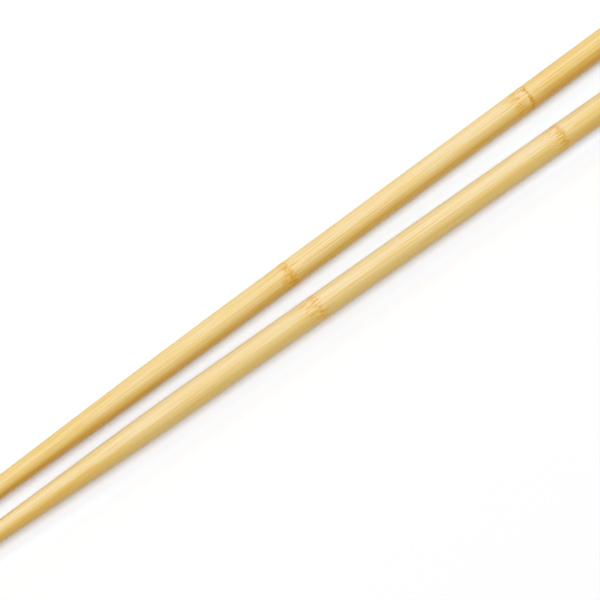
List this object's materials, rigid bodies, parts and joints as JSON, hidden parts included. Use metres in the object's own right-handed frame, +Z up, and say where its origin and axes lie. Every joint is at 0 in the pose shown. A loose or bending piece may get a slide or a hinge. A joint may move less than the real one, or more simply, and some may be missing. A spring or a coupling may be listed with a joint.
{
  "type": "pair of bamboo chopsticks",
  "caption": "Round tapered bamboo chopsticks lying side by side, with rounded tips, shallow knuckles at the bamboo nodes and flat heads, for picking up food.",
  "frame": {"origin": "centre of the pair's footprint, on the surface that the pair lies on", "axes": "+X from the tips to the heads, along the line midway between the two sticks; +Y towards the left stick; +Z up"},
  "size_m": [0.24, 0.0189, 0.0062],
  "materials": {
    "bamboo": "plain sanded bamboo, satin, with fine lengthwise fibres and darker dashes at the nodes"
  },
  "bodies": {
    "root": {"left_chopstick": "bamboo", "right_chopstick": "bamboo"}
  },
  "joints": []
}
